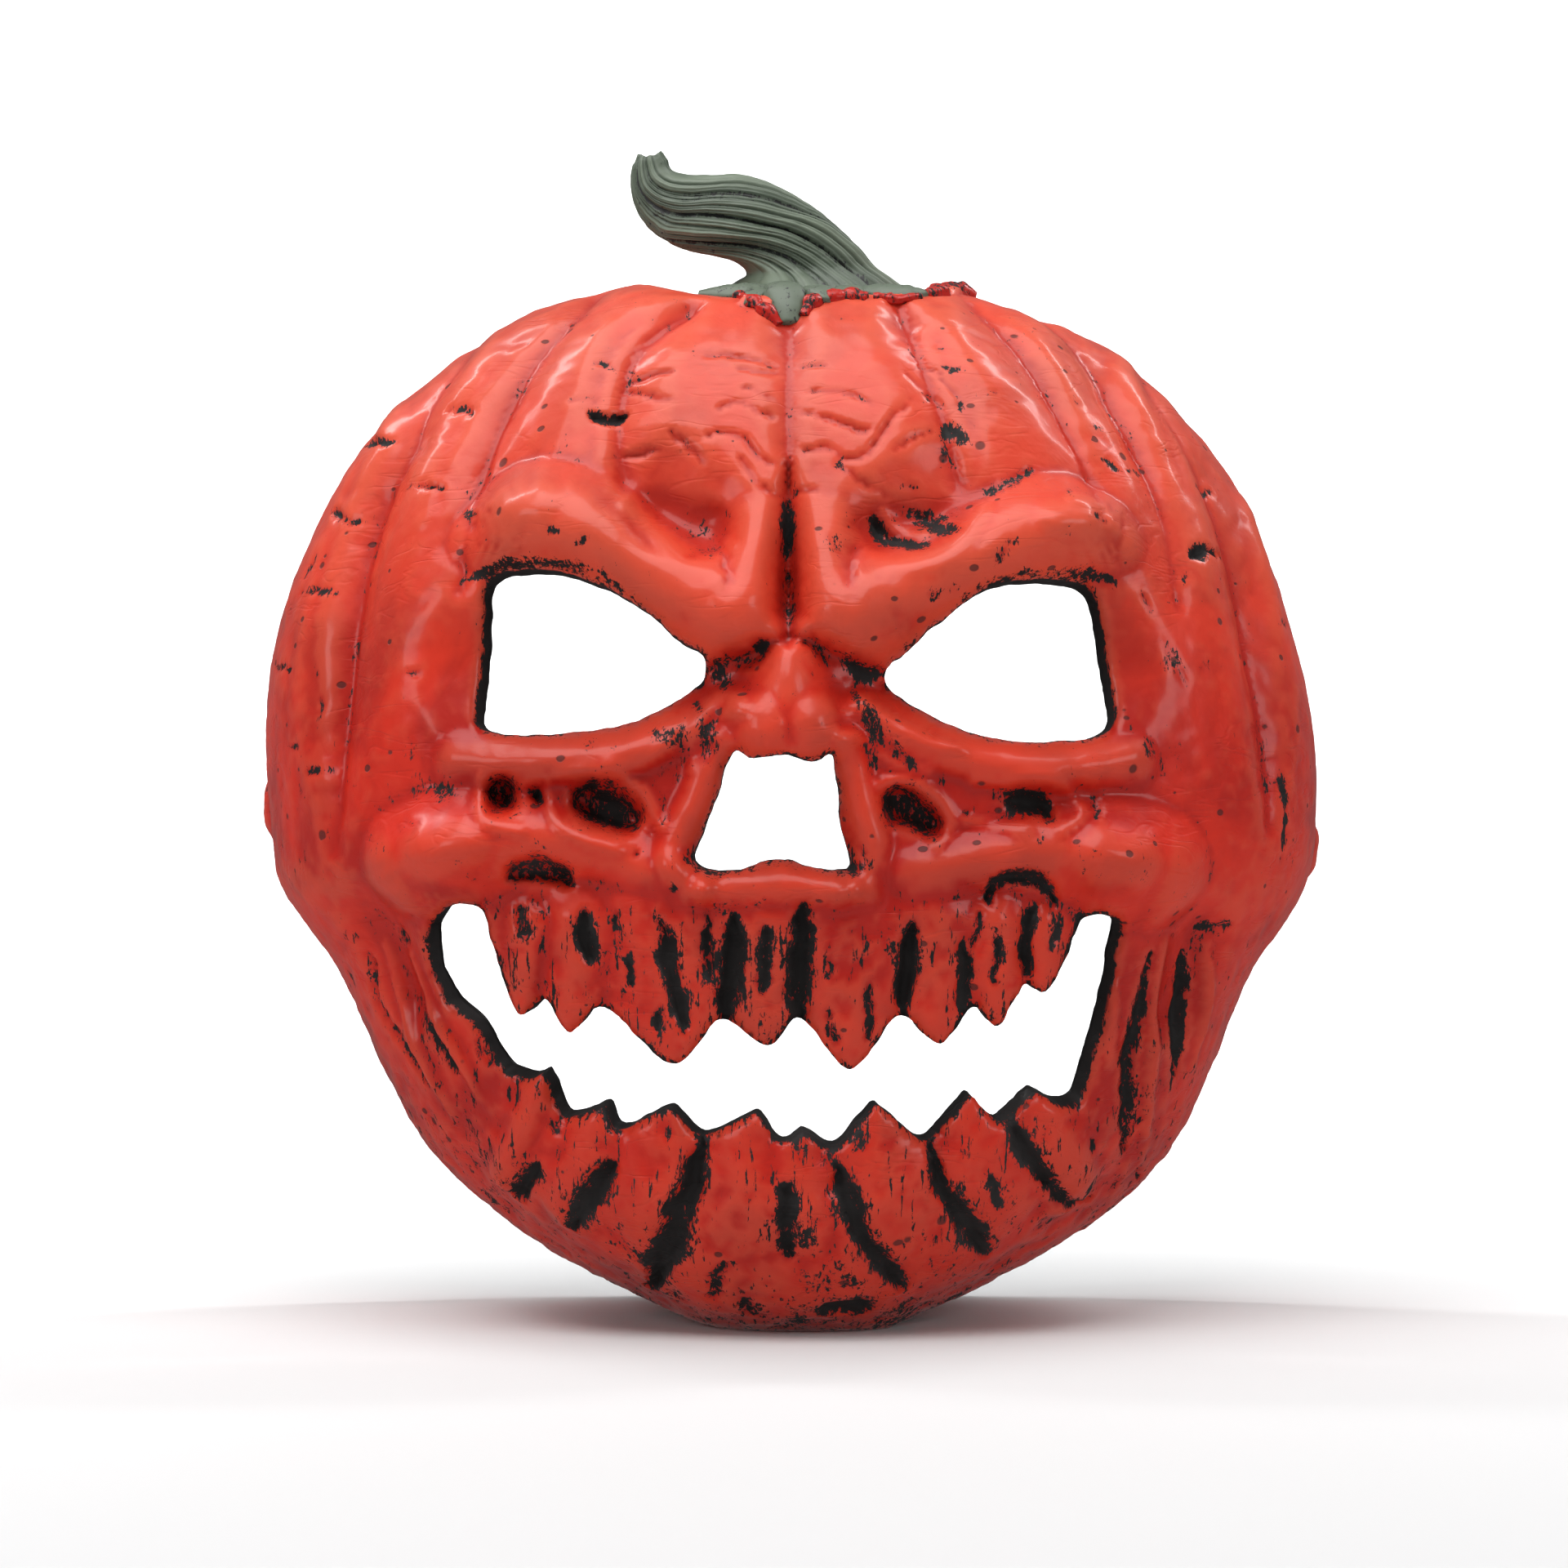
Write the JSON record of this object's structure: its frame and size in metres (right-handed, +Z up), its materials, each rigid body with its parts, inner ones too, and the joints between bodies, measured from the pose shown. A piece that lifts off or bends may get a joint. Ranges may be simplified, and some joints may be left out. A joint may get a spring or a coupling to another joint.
{
  "type": "pumpkin mask",
  "caption": "Moulded half-shell face mask shaped like a carved pumpkin, with cut-out eyes, nose and toothed mouth and a twisted stem on its crown.",
  "frame": {"origin": "on the flat of the chin that the mask stands on, in the middle of the shell's width and half way through the shell's depth", "axes": "the face looks along -Y, +X is at the viewer's right, +Z up towards the stem; the open back lies in a plane at +Y"},
  "size_m": [0.252, 0.1172, 0.274],
  "materials": {
    "red_paint": "semi-gloss red-orange paint with a black wash in the recesses, on foam latex",
    "green_paint": "satin grey-green paint with a dark wash in the grooves, on foam latex"
  },
  "bodies": {
    "root": {"face_shell": "red_paint", "stem": "green_paint"}
  },
  "joints": []
}
